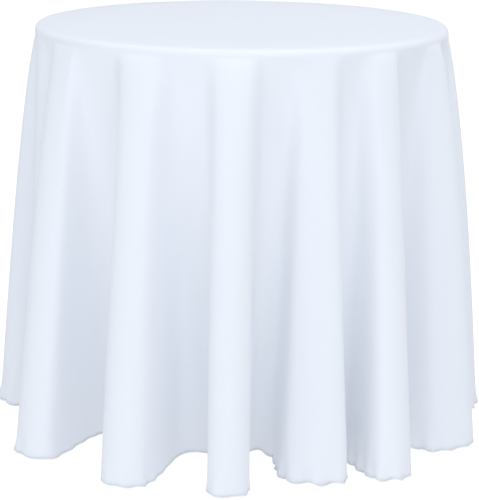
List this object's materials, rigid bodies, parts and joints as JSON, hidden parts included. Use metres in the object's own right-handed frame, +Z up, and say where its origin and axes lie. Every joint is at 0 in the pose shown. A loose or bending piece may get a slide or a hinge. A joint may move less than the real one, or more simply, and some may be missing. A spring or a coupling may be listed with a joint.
{
  "type": "round tablecloth on a pedestal table",
  "caption": "Floor-length round white tablecloth hanging in deep folds from a round pedestal table with a disc base and levelling glides.",
  "frame": {"origin": "on the floor under the middle of the table", "axes": "+Z up, -Y towards the front, +X to the right as seen from the front"},
  "size_m": [0.9403, 0.9275, 0.7668],
  "materials": {
    "cloth": "matte",
    "thread": "satin",
    "laminate": "satin",
    "plywood": "satin",
    "vinyl": "satin",
    "casting": "matte",
    "tube": "satin",
    "zinc": "satin",
    "nylon": "satin"
  },
  "bodies": {
    "table": {"top_laminate": "laminate", "tabletop_board": "plywood", "edge_band": "vinyl", "spider_plate": "casting", "spider_screw_1": "zinc", "spider_screw_2": "zinc", "spider_screw_3": "zinc", "spider_screw_4": "zinc", "spider_screw_5": "zinc", "spider_screw_6": "zinc", "spider_screw_7": "zinc", "spider_screw_8": "zinc", "column_tube": "tube", "tie_rod": "zinc", "upper_nut": "zinc", "upper_washer": "zinc", "lower_nut": "zinc", "lower_washer": "zinc", "base_plate": "casting"},
    "cloth": {"tablecloth": "cloth", "hem_thread": "thread"},
    "glide_1": {"glide_stem_1": "zinc", "glide_pad_1": "nylon"},
    "glide_2": {"glide_stem_2": "zinc", "glide_pad_2": "nylon"},
    "glide_3": {"glide_stem_3": "zinc", "glide_pad_3": "nylon"},
    "glide_4": {"glide_stem_4": "zinc", "glide_pad_4": "nylon"}
  },
  "joints": [
    {"name": "cloth_lift", "type": "slide", "parent": "table", "child": "cloth", "axis": [0, 0, 1], "range_m": [0, 0.8], "deforming": ["tablecloth", "hem_thread"]},
    {"name": "glide_1_screw", "type": "slide", "parent": "table", "child": "glide_1", "axis": [0, 0, -1], "range_m": [0, 0.008]},
    {"name": "glide_2_screw", "type": "slide", "parent": "table", "child": "glide_2", "axis": [0, 0, -1], "range_m": [0, 0.008]},
    {"name": "glide_3_screw", "type": "slide", "parent": "table", "child": "glide_3", "axis": [0, 0, -1], "range_m": [0, 0.008]},
    {"name": "glide_4_screw", "type": "slide", "parent": "table", "child": "glide_4", "axis": [0, 0, -1], "range_m": [0, 0.008]}
  ]
}
